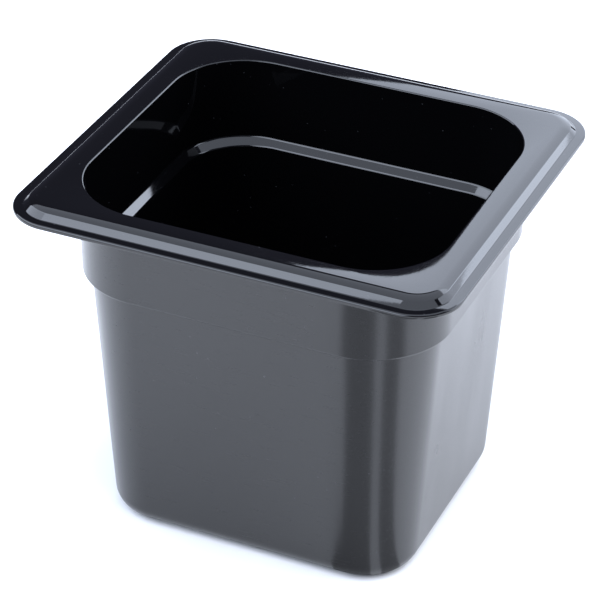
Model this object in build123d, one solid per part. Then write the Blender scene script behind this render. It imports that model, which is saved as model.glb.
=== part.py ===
from build123d import *
import os

# One sixth-size deli food pan, moulded in one shot from black polycarbonate.
# The frame's origin is the centre of the underside, +Z is up, +X runs along the longer side.
# The moulding is drawn whole, then divided at its natural lines (bends, corners, collar and rim),
# so that each region of it is a named solid that meets its neighbours face to face.

# Overall size
rim_length = 176.0
rim_width = 162.0
pan_height = 146.0

# Walls and floor; every inset is measured from the rim's outline to the outside of the wall
wall = 2.2
floor_thickness = 2.6
base_inset = 24.8
shoulder_inset = 17.9
collar_foot_inset = 14.5
collar_top_inset = 13.9

# All wall corners turn about the same upright axis, this far in from both sides of the rim
corner_axis_inset = 46.4

# Stacking shoulder: almost level underneath, so that a nested pan doesn't jam
shoulder_z = 108.0
shoulder_edge_z = 108.3
shoulder_edge_round = 1.2
shoulder_root_round = 0.8

# Ledge that the shoulder makes inside, sloped so that it wipes clean
ledge_foot_z = 109.3
ledge_top_z = 112.0
ledge_round = 1.3

# Bend between the floor and the walls
base_bend_outer = 8.0
base_bend_inner = 6.0

# Rim, from the outer edge inwards
rim_corner_radius = 18.5
flange_inset = 3.8
crest_inset = 6.0
crown_inset = 8.0
flange_drop = 3.0
crest_drop = 0.9
lip_thickness = 1.8
lip_round = 0.7
crest_round = 0.8
crown_round = 9.0
mouth_round = 0.5
rim_skin = 2.2

# Lines on which the moulding is divided
corner_line_x = rim_length / 2 - corner_axis_inset
corner_line_y = rim_width / 2 - corner_axis_inset
floor_line_x = 50.5
floor_line_y = 43.5
bend_line_z = 12.0
collar_line_z = 106.0

flange_z = pan_height - flange_drop
lip_z = flange_z - lip_thickness
reach = rim_length
level_gap = 0.05


def lower_inset(z):
    """Inset of the lower wall's outside at height z."""
    return base_inset + (shoulder_inset - base_inset) * z / shoulder_z


def collar_inset(z):
    """Inset of the collar's outside at height z."""
    share = (z - shoulder_z) / (pan_height - shoulder_z)
    return collar_foot_inset + (collar_top_inset - collar_foot_inset) * share


def outline(inset, radius, z):
    """Rounded rectangle, inset from the rim's outline, at height z."""
    length = rim_length - 2 * inset
    width = rim_width - 2 * inset
    return Plane.XY.offset(z) * RectangleRounded(length, width, radius)


def wall_outline(inset, z):
    """Outline of a wall, its corners about the shared corner axes."""
    return outline(inset, corner_axis_inset - inset, z)


def rim_outline(inset, z):
    """Outline of a rim feature, its corners parallel to the rim's outer corners."""
    return outline(inset, rim_corner_radius - inset, z)


def level_faces(form):
    """Level faces of a form, lowest first."""
    return form.faces().filter_by(Axis.Z).sort_by(Axis.Z)


def level_edges(form, z):
    """Edges that run level around a form at height z."""
    return form.edges().filter_by_position(Axis.Z, z - level_gap, z + level_gap)


def wall_form(z_bottom, z_root, z_edge, offset, bend, root_round, edge_round):
    """Tapered solid that steps out to the collar from z_root to z_edge, moved inwards by offset."""
    sections = [
        wall_outline(lower_inset(z_bottom) + offset, z_bottom),
        wall_outline(lower_inset(z_root) + offset, z_root),
        wall_outline(collar_inset(z_edge) + offset, z_edge),
        wall_outline(collar_inset(pan_height) + offset, pan_height),
    ]
    form = loft(sections, ruled=True)
    form = form.fillet(bend, level_faces(form)[0].edges())
    form = form.fillet(root_round, level_edges(form, z_root))
    return form.fillet(edge_round, level_edges(form, z_edge))


def rim_form():
    """Solid rim: thin flange, sloping step, crowned border and flat land, hollow underneath."""
    lip = extrude(rim_outline(0, lip_z), lip_thickness)
    lip = lip.fillet(lip_round, level_faces(lip)[-1].edges())
    slope = [
        rim_outline(flange_inset, lip_z),
        rim_outline(flange_inset, flange_z),
        rim_outline(crest_inset, pan_height - crest_drop),
        rim_outline(crown_inset, pan_height),
    ]
    crown = loft(slope, ruled=True)
    crown = crown.fillet(crown_round, level_edges(crown, pan_height))
    crown = crown.fillet(crest_round, level_edges(crown, pan_height - crest_drop))
    channel = [
        rim_outline(flange_inset + rim_skin / 2, lip_z),
        rim_outline(crest_inset + rim_skin, pan_height - rim_skin),
    ]
    return lip + crown - loft(channel, ruled=True)


def whole_moulding():
    """The complete pan as one solid."""
    body = wall_form(
        0, shoulder_z, shoulder_edge_z, 0, base_bend_outer, shoulder_root_round, shoulder_edge_round
    )
    cavity = wall_form(
        floor_thickness, ledge_foot_z, ledge_top_z, wall, base_bend_inner, ledge_round, ledge_round
    )
    pan = body + rim_form() - cavity
    return pan.fillet(mouth_round, level_faces(pan)[-1].inner_wires()[0].edges())


def block(x_low, x_high, y_low, y_high, z_low, z_high):
    """Box between two corners, used to take one region out of the moulding."""
    centre = ((x_low + x_high) / 2, (y_low + y_high) / 2, (z_low + z_high) / 2)
    return Pos(*centre) * Box(x_high - x_low, y_high - y_low, z_high - z_low)


def side_block(side, z_low, z_high):
    """Box around the front or left flat side, between the two corner lines."""
    if side in ("front", "back"):
        return block(-corner_line_x, corner_line_x, -reach, 0, z_low, z_high)
    return block(-reach, 0, -corner_line_y, corner_line_y, z_low, z_high)


def corner_block(z_low, z_high):
    """Box around the front left corner, outside the two corner lines."""
    return block(-reach, -corner_line_x, -reach, -corner_line_y, z_low, z_high)


def placed(region, place):
    """A front or left region, mirrored to the place that its name gives."""
    if "back" in place:
        region = mirror(region, about=Plane.XZ)
    if "right" in place:
        region = mirror(region, about=Plane.YZ)
    return region


def write(name, solid):
    """Save one region, and print its volume as a check."""
    solids = solid.solids()
    print(name, len(solids), round(sum(piece.volume for piece in solids)))
    export_step(solids[0] if len(solids) == 1 else Compound(solids), f"parts/{name}.step")


os.makedirs("parts", exist_ok=True)

pan = whole_moulding()
print("whole moulding", len(pan.solids()), round(pan.volume), "valid", pan.is_valid)

floor_block = block(-floor_line_x, floor_line_x, -floor_line_y, floor_line_y, 0, bend_line_z)
write("floor", pan & floor_block)

for side in ("front", "back", "left", "right"):
    base_bend = (pan & side_block(side, 0, bend_line_z)) - floor_block
    write(f"base_bend_{side}", placed(base_bend, side))
    write(f"wall_{side}", placed(pan & side_block(side, bend_line_z, collar_line_z), side))
    write(f"collar_{side}", placed(pan & side_block(side, collar_line_z, lip_z), side))
    write(f"rim_{side}", placed(pan & side_block(side, lip_z, pan_height), side))

for corner in ("front_left", "front_right", "back_left", "back_right"):
    base_corner = (pan & corner_block(0, bend_line_z)) - floor_block
    write(f"base_corner_{corner}", placed(base_corner, corner))
    write(f"corner_post_{corner}", placed(pan & corner_block(bend_line_z, collar_line_z), corner))
    write(f"collar_corner_{corner}", placed(pan & corner_block(collar_line_z, lip_z), corner))
    write(f"rim_corner_{corner}", placed(pan & corner_block(lip_z, pan_height), corner))
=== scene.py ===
import math

import bmesh
import bpy
from mathutils import Matrix, Quaternion, Vector


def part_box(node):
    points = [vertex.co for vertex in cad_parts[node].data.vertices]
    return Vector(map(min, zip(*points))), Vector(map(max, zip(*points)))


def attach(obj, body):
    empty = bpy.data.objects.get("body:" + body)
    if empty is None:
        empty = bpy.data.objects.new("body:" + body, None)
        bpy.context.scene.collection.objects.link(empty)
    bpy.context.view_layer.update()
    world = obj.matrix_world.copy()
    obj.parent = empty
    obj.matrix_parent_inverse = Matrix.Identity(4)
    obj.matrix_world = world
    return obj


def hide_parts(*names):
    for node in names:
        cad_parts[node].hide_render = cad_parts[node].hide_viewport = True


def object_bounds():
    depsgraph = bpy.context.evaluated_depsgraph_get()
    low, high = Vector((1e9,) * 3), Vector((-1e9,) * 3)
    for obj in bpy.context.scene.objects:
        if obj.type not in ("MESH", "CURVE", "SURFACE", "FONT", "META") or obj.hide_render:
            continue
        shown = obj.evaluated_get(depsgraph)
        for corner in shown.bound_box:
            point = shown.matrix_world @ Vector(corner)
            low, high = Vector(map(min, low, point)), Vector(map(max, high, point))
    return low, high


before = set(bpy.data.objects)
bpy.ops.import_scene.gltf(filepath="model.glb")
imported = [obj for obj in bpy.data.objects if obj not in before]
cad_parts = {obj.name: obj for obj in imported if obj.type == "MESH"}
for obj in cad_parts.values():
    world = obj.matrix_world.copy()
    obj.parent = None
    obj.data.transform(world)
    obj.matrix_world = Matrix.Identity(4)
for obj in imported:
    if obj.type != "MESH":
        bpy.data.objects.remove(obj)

# ---------------------------------------------------------------------------
# One black deli food pan, a single plastic moulding, on a pale studio floor.
# Metres. The pan's longer side runs along X, the floor is z = 0.
# ---------------------------------------------------------------------------

MM = 0.001
frame_low, frame_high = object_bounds()

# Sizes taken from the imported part
rim_length = frame_high.x - frame_low.x
rim_width = frame_high.y - frame_low.y
pan_height = frame_high.z - frame_low.z
lip_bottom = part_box("rim_front")[0].z
corner_axis_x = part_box("wall_front")[1].x
corner_axis_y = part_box("wall_left")[1].y

# The rest of the section, as insets from the rim's outline
wall_corner_axis = rim_length / 2 - corner_axis_x
rim_corner_radius = 18.5 * MM
wall = 2.2 * MM
floor_top = 2.6 * MM
base_inset = 24.8 * MM
shoulder_inset = 17.9 * MM
collar_foot_inset = 14.5 * MM
collar_top_inset = 13.9 * MM
flange_inset = 3.8 * MM
crest_inset = 6.0 * MM
crown_inset = 8.0 * MM
rim_skin = 2.2 * MM
hollow_outer_inset = flange_inset + rim_skin / 2
hollow_inner_inset = crest_inset + rim_skin
cap_inset = 42.0 * MM

# Heights above the floor that the pan stands on
shoulder_z = 108.0 * MM
shoulder_edge_z = 108.3 * MM
ledge_foot_z = 109.3 * MM
ledge_top_z = 112.0 * MM
flange_z = pan_height - 3.0 * MM
crest_z = pan_height - 0.9 * MM
hollow_top_z = pan_height - rim_skin

# Roundings
base_bend_outer = 8.0 * MM
base_bend_inner = 6.0 * MM
shoulder_root_round = 0.8 * MM
shoulder_edge_round = 1.2 * MM
ledge_round = 1.3 * MM
hollow_round = 0.5 * MM
skirt_foot_round = 0.2 * MM
lip_lower_round = 0.5 * MM
lip_upper_round = 0.75 * MM
slope_foot_round = 0.6 * MM
crest_round = 1.4 * MM
crown_round = 9.0 * MM
mouth_round = 0.5 * MM

# How finely the moulding is drawn around each corner and along each side
corner_steps = 28
side_steps = 10

# Corners of the outside section, from the base up, that the satin half of the mould forms
satin_corners = 5


def lower_inset(z):
    """Inset of the outside of the tapered wall at height z."""
    return base_inset + (shoulder_inset - base_inset) * z / shoulder_z


def collar_inset(z):
    """Inset of the outside of the collar at height z."""
    share = (z - shoulder_z) / (pan_height - shoulder_z)
    return collar_foot_inset + (collar_top_inset - collar_foot_inset) * share


# ---------------------------------------------------------------------------
# The section of the moulding: corner points (inset, height, rounding, steps in it, family).
# WALL corners turn about the shared corner axes, RIM corners run parallel to the rim's outline.
# ---------------------------------------------------------------------------

WALL, RIM = "wall", "rim"

outside_section = [
    (cap_inset, 0.0, 0.0, 0, WALL),
    (base_inset, 0.0, base_bend_outer, 10, WALL),
    (lower_inset(shoulder_z), shoulder_z, shoulder_root_round, 4, WALL),
    (collar_inset(shoulder_edge_z), shoulder_edge_z, shoulder_edge_round, 6, WALL),
    (collar_inset(hollow_top_z), hollow_top_z, hollow_round, 3, WALL),
    (hollow_inner_inset, hollow_top_z, hollow_round, 3, RIM),
    (hollow_outer_inset, lip_bottom, skirt_foot_round, 2, RIM),
    (0.0, lip_bottom, lip_lower_round, 4, RIM),
    (0.0, flange_z, lip_upper_round, 6, RIM),
    (flange_inset, flange_z, slope_foot_round, 4, RIM),
    (crest_inset, crest_z, crest_round, 6, RIM),
    (crown_inset, pan_height, crown_round, 8, RIM),
]

inside_section = [
    (collar_inset(pan_height) + wall, pan_height, mouth_round, 6, WALL),
    (collar_inset(ledge_top_z) + wall, ledge_top_z, ledge_round, 6, WALL),
    (lower_inset(ledge_foot_z) + wall, ledge_foot_z, ledge_round, 6, WALL),
    (lower_inset(floor_top) + wall, floor_top, base_bend_inner, 10, WALL),
    (cap_inset, floor_top, 0.0, 0, WALL),
]


def rounded(points):
    """Section points with every corner rounded by an arc of its own radius."""
    rounded_points = []
    for number, (inset, z, radius, steps, family) in enumerate(points):
        here = Vector((inset, z))
        if radius == 0.0:
            rounded_points.append((inset, z, family))
            continue
        before = (Vector(points[number - 1][:2]) - here).normalized()
        after = (Vector(points[number + 1][:2]) - here).normalized()
        half = before.angle(after) / 2
        reach = radius / math.tan(half)
        centre = here + (before + after).normalized() * (radius / math.sin(half))
        first = here + before * reach - centre
        last = here + after * reach - centre
        turn = first.angle_signed(last)
        for step in range(steps + 1):
            spoke = first.copy()
            spoke.rotate(Matrix.Rotation(-turn * step / steps, 2))
            spot = centre + spoke
            rounded_points.append((spot.x, spot.y, family))
    return rounded_points


def ring(inset, z, family):
    """Points of one level outline, corner by corner, counter-clockwise seen from above."""
    axis = wall_corner_axis if family == WALL else rim_corner_radius
    radius = axis - inset
    x_axis = rim_length / 2 - axis
    y_axis = rim_width / 2 - axis
    corners = [(x_axis, y_axis), (-x_axis, y_axis), (-x_axis, -y_axis), (x_axis, -y_axis)]
    points = []
    for number, (x, y) in enumerate(corners):
        for step in range(corner_steps + 1):
            angle = math.radians(90 * (number + step / corner_steps))
            points.append(Vector((x + radius * math.cos(angle), y + radius * math.sin(angle), z)))
        start = points[-1]
        next_x, next_y = corners[(number + 1) % 4]
        angle = math.radians(90 * (number + 1))
        end = Vector((next_x + radius * math.cos(angle), next_y + radius * math.sin(angle), z))
        for step in range(1, side_steps):
            points.append(start.lerp(end, step / side_steps))
    return points


def build_moulding():
    """One closed skin: outside and rim first, then down the inside to the floor."""
    section = rounded(outside_section + inside_section)
    satin_rings = sum(corner[3] + 1 for corner in outside_section[:satin_corners])
    mesh = bpy.data.meshes.new("pan_moulding")
    builder = bmesh.new()
    rings = [[builder.verts.new(spot) for spot in ring(*place)] for place in section]
    around = len(rings[0])
    for level in range(len(rings) - 1):
        lower, upper = rings[level], rings[level + 1]
        for number in range(around):
            after = (number + 1) % around
            face = builder.faces.new((lower[number], lower[after], upper[after], upper[number]))
            face.material_index = 1 if level < satin_rings else 0
            face.smooth = True
    bottom = builder.faces.new(list(reversed(rings[0])))
    bottom.material_index = 1
    builder.faces.new(rings[-1])
    builder.to_mesh(mesh)
    builder.free()
    piece = bpy.data.objects.new("pan_moulding", mesh)
    bpy.context.scene.collection.objects.link(piece)
    return piece


# ---------------------------------------------------------------------------
# Materials
# ---------------------------------------------------------------------------

polycarbonate_ior = 1.585
plastic_black = "050506"
dust_grey = "4a4a4c"
board_pale = "e6e6e6"
board_paler = "eaeaea"
board_roughness = 0.7

# Real sizes of the patterns. Wipe scratches and dust are finer than this on the real plastic, and are
# drawn coarser so that they show at the size the pan is looked at.
scratch_length = 14 * MM
scratch_spacing = 0.5 * MM
scratch_roughness = 0.06
dust_spacing = 5 * MM
dust_patch = 45 * MM
wipe_patch = 28 * MM
board_patch = 60 * MM
card_patch = 40 * MM

# A wiping hand runs down the walls, so its smears are four times as long upright as they are wide
wipe_stretch = 0.25

# Shares of the noise at which a pattern starts and at which it is full
patch_start = 0.3
patch_full = 0.7
scratch_start = 0.70
scratch_full = 0.76

# Radii of a speck of dust, as shares of the spacing between specks: its solid core, its soft edge
speck_core = 0.03
speck_edge = 0.07

# Two layers of scratches lie over each other. Both run along the pan's longer side, as a cloth wipes
# it, and these turns of the noise in radians only keep the layers from repeating each other.
first_layer = (0.4, 0.2, 0.5)
second_layer = (-0.5, 0.3, -0.8)


def hex_colour(code):
    """sRGB hex turned into the linear colour that a shader takes."""
    values = []
    for start in (0, 2, 4):
        share = int(code[start:start + 2], 16) / 255
        values.append(share / 12.92 if share <= 0.04045 else ((share + 0.055) / 1.055) ** 2.4)
    return (*values, 1.0)


def node(tree, kind, settings=None, **inputs):
    """Adds a shader node, sets its options, and sets or links its inputs by name."""
    made = tree.nodes.new(kind)
    for key, value in (settings or {}).items():
        setattr(made, key, value)
    for key, value in inputs.items():
        socket = made.inputs[int(key[1:]) if key[1:].isdigit() else key.replace("_", " ")]
        if isinstance(value, bpy.types.NodeSocket):
            tree.links.new(value, socket)
        else:
            socket.default_value = value
    return made


def new_material(name):
    """Empty material, its node tree and its surface output."""
    material = bpy.data.materials.new(name)
    material.use_nodes = True
    material.node_tree.nodes.clear()
    output = material.node_tree.nodes.new("ShaderNodeOutputMaterial")
    return material, material.node_tree, output


def grain(tree, coordinates, scale, detail, low, high):
    """Noise turned into a value between low and high."""
    noise = node(tree, "ShaderNodeTexNoise", Vector=coordinates, Scale=scale, Detail=detail)
    return node(
        tree, "ShaderNodeMapRange",
        i0=noise.outputs["Fac"], i1=patch_start, i2=patch_full, i3=low, i4=high,
    ).outputs[0]


def hairlines(tree, place, turn):
    """One layer of sparse fine wipe scratches: 1 on a scratch, 0 between them."""
    squeeze = (1 / scratch_length, 1 / scratch_spacing, 1 / scratch_spacing)
    turned = node(tree, "ShaderNodeMapping", i0=place, i2=turn, i3=squeeze)
    streaks = node(tree, "ShaderNodeTexNoise", Vector=turned.outputs[0], Scale=1.0, Detail=1.0)
    return node(
        tree, "ShaderNodeMapRange",
        i0=streaks.outputs["Fac"], i1=scratch_start, i2=scratch_full, i3=0.0, i4=1.0,
    ).outputs[0]


def dust_specks(tree, place):
    """Sparse pale specks of dust, 1 in a speck and 0 between them."""
    cells = node(tree, "ShaderNodeTexVoronoi", Vector=place, Scale=1 / dust_spacing)
    near = node(
        tree, "ShaderNodeMapRange",
        i0=cells.outputs["Distance"], i1=speck_core, i2=speck_edge, i3=1.0, i4=0.0,
    )
    patches = grain(tree, place, scale=1 / dust_patch, detail=2.0, low=0.0, high=1.0)
    return node(
        tree, "ShaderNodeMath", {"operation": "MULTIPLY"}, i0=near.outputs[0], i1=patches
    ).outputs[0]


def polycarbonate(name, smooth, rough, skin_height, skin_size):
    """Black polycarbonate with the skin that its part of the mould gives it."""
    material, tree, output = new_material(name)
    place = node(tree, "ShaderNodeTexCoord").outputs["Object"]
    skin = node(tree, "ShaderNodeTexNoise", Vector=place, Scale=1 / skin_size, Detail=2.0)
    wiped = node(tree, "ShaderNodeMapping", i0=place, i3=(1.0, 1.0, wipe_stretch))
    handled = grain(
        tree, wiped.outputs[0], scale=1 / wipe_patch, detail=5.0, low=smooth, high=rough
    )
    first = hairlines(tree, place, first_layer)
    second = hairlines(tree, place, second_layer)
    scratches = node(tree, "ShaderNodeMath", {"operation": "MAXIMUM"}, i0=first, i1=second)
    roughness = node(
        tree, "ShaderNodeMath", {"operation": "MULTIPLY_ADD"},
        i0=scratches.outputs[0], i1=scratch_roughness, i2=handled,
    )
    tone = node(
        tree, "ShaderNodeMix", {"data_type": "RGBA"}, i0=dust_specks(tree, place),
        i6=hex_colour(plastic_black), i7=hex_colour(dust_grey),
    )
    bump = node(
        tree, "ShaderNodeBump", Strength=1.0, Distance=skin_height, Height=skin.outputs["Fac"]
    )
    shader = node(
        tree, "ShaderNodeBsdfPrincipled", IOR=polycarbonate_ior, Normal=bump.outputs[0],
        Base_Color=tone.outputs[2], Roughness=roughness.outputs[0],
    )
    tree.links.new(shader.outputs[0], output.inputs["Surface"])
    return material


def studio_floor_material():
    """Board rolled with pale matt paint: a faint mottle, and no gloss to mirror the pan."""
    material, tree, output = new_material("pale_painted_board")
    place = node(tree, "ShaderNodeTexCoord").outputs["Object"]
    mottle = grain(tree, place, scale=1 / board_patch, detail=4.0, low=0.0, high=1.0)
    tone = node(
        tree, "ShaderNodeMix", {"data_type": "RGBA"}, i0=mottle,
        i6=hex_colour(board_pale), i7=hex_colour(board_paler),
    )
    shader = node(tree, "ShaderNodeBsdfPrincipled", Roughness=board_roughness)
    tree.links.new(tone.outputs[2], shader.inputs["Base Color"])
    tree.links.new(shader.outputs[0], output.inputs["Surface"])
    return material


# ---------------------------------------------------------------------------
# Studio: floor, card of painted shade, lights, camera
# ---------------------------------------------------------------------------

floor_reach = 4.0

# Headings of the painted-shade card's two fans in degrees, how far they reach, and how much light they
# return
card_fans = ((-104, -82, -60), (-47, -36, -22))
card_reach = 300 * MM
card_height = 1.0 * MM
card_painted_shade_dark = 0.31
card_painted_shade_light = 0.35

lamp_colour = "e3edff"
wash_colour = "f6f8fd"
surroundings_colour = "d5d8ff"
surroundings_strength = 0.12

# Where the camera stands around the pan, in degrees, and how far from the point that it faces
camera_azimuth = 23.70
camera_elevation = 32.79
camera_roll = 0.60
camera_distance = 1.068
camera_target = Vector((0.0, 0.0, 0.075))
camera_lens = 164.96
camera_sensor = 36.0
camera_shift_x = -0.0074
camera_shift_y = 0.0296
camera_clip = 0.01


def direction(heading, height):
    """Unit vector for a compass heading (from +X towards +Y) and a height angle, in degrees."""
    heading, height = math.radians(heading), math.radians(height)
    flat = math.cos(height)
    return Vector((flat * math.cos(heading), flat * math.sin(heading), math.sin(height)))


def build_floor():
    """Large level board that the pan stands on."""
    mesh = bpy.data.meshes.new("studio_floor")
    builder = bmesh.new()
    bmesh.ops.create_grid(builder, x_segments=8, y_segments=8, size=floor_reach)
    builder.to_mesh(mesh)
    builder.free()
    board = bpy.data.objects.new("studio_floor", mesh)
    board.data.materials.append(studio_floor_material())
    bpy.context.scene.collection.objects.link(board)
    return board


def build_painted_shade_card():
    """Card of painted shade on the board in front of the pan, seen only in the pan's reflections,
    where it stands for shaded board.

    It lies in two fans about the front right corner, so the satin corner shows a bright column
    where the pale board between them is mirrored.
    """
    apex = Vector((corner_axis_x, -corner_axis_y, card_height))
    mesh = bpy.data.meshes.new("painted_shade_card")
    builder = bmesh.new()
    for fan in card_fans:
        spots = [apex] + [apex + direction(heading, 0) * card_reach for heading in fan]
        builder.faces.new([builder.verts.new(spot) for spot in spots])
    builder.to_mesh(mesh)
    builder.free()
    card = bpy.data.objects.new("painted_shade_card", mesh)

    # Painted shade, matt grey: an even tone with no gloss, which returns a third of the light
    material, tree, output = new_material("painted_shade_card")
    place = node(tree, "ShaderNodeTexCoord").outputs["Object"]
    shade = grain(tree, place, scale=1 / card_patch, detail=3.0, low=card_painted_shade_dark, high=card_painted_shade_light)
    shader = node(tree, "ShaderNodeBsdfDiffuse", Color=shade)
    tree.links.new(shader.outputs[0], output.inputs["Surface"])
    card.data.materials.append(material)
    card.visible_camera = False
    card.visible_diffuse = False
    card.visible_shadow = False
    bpy.context.scene.collection.objects.link(card)
    return card


def softbox(name, heading, height, distance, width, depth, radiance, lean=0, colour=lamp_colour):
    """Even rectangular light facing the pan; its radiance is its brightness as seen in a mirror."""
    lamp = bpy.data.lights.new(name, "AREA")
    lamp.shape = "RECTANGLE"
    lamp.size = width
    lamp.size_y = depth
    lamp.energy = math.pi * width * depth * radiance
    lamp.color = hex_colour(colour)[:3]
    holder = bpy.data.objects.new(name, lamp)
    aim = Vector((0.0, 0.0, pan_height / 2))
    holder.location = aim + direction(heading, height) * distance
    facing = (aim - holder.location).to_track_quat("-Z", "Y")
    leaning = Quaternion((0.0, 0.0, 1.0), math.radians(lean))
    holder.rotation_euler = (facing @ leaning).to_euler()
    holder.visible_camera = False
    bpy.context.scene.collection.objects.link(holder)
    return holder


def build_world():
    """Dim even surroundings, the dark of the studio behind the lights."""
    world = bpy.data.worlds.new("studio_dark")
    world.use_nodes = True
    background = world.node_tree.nodes["Background"]
    background.inputs["Color"].default_value = hex_colour(surroundings_colour)
    background.inputs["Strength"].default_value = surroundings_strength
    bpy.context.scene.world = world


def build_camera():
    """Camera up and to the front right of the pan, a long lens from about a metre away."""
    azimuth = math.radians(camera_azimuth)
    elevation = math.radians(camera_elevation)
    roll = math.radians(camera_roll)
    back = Vector((
        math.sin(azimuth) * math.cos(elevation),
        -math.cos(azimuth) * math.cos(elevation),
        math.sin(elevation),
    ))
    right = Vector((math.cos(azimuth), math.sin(azimuth), 0.0))
    up = back.cross(right)
    tilted_right = right * math.cos(roll) + up * math.sin(roll)
    tilted_up = up * math.cos(roll) - right * math.sin(roll)
    camera = bpy.data.cameras.new("camera")
    camera.lens = camera_lens
    camera.sensor_width = camera_sensor
    camera.shift_x = camera_shift_x
    camera.shift_y = camera_shift_y
    camera.clip_start = camera_clip
    holder = bpy.data.objects.new("camera", camera)
    turn = Matrix((tilted_right, tilted_up, back)).transposed().to_4x4()
    holder.matrix_world = Matrix.Translation(camera_target + back * camera_distance) @ turn
    bpy.context.scene.collection.objects.link(holder)
    bpy.context.scene.camera = holder


pan = build_moulding()

# Polished half of the mould, inside and on the rim: the plastic comes out mirror-like, with the slow
# ripple of orange peel where it cooled against the steel
polished = polycarbonate(
    "polished_black_polycarbonate", smooth=0.03, rough=0.07, skin_height=0.004 * MM, skin_size=2.5 * MM
)

# Lightly blasted half of the mould, outside: an even satin that blurs the lights into soft columns
satin = polycarbonate(
    "satin_black_polycarbonate", smooth=0.21, rough=0.28, skin_height=0.006 * MM, skin_size=0.9 * MM
)

pan.data.materials.append(polished)
pan.data.materials.append(satin)
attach(pan, "root")
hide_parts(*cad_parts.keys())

board = build_floor()
# A card of painted shade, seen only in the pan's reflections as darker board
card = build_painted_shade_card()
build_world()

# Soft lights: heading, height angle and lean in degrees, distance and size in metres
softbox("key_front_left", heading=-136, height=37, distance=1.4, width=2.9, depth=1.16, radiance=4.3)
softbox(
    "wide_back_right", heading=81.5, height=25, distance=2.0, width=1.72, depth=1.6, radiance=3.5,
    lean=-14,
)
softbox("side_right", heading=34, height=24, distance=2.0, width=1.9, depth=1.6, radiance=3.6)
softbox("ceiling", heading=114, height=86, distance=1.7, width=2.9, depth=2.9, radiance=1.5)

# Light on the board and the card only, so that the board stays pale right up to the pan
wash = softbox(
    "floor_wash", heading=-5, height=62, distance=2.2, width=3.0, depth=3.0, radiance=2.75,
    colour=wash_colour,
)
lit_by_wash = bpy.data.collections.new("lit_by_wash")
lit_by_wash.objects.link(board)
lit_by_wash.objects.link(card)
wash.light_linking.receiver_collection = lit_by_wash

build_camera()
bpy.context.scene.view_settings.view_transform = "Standard"
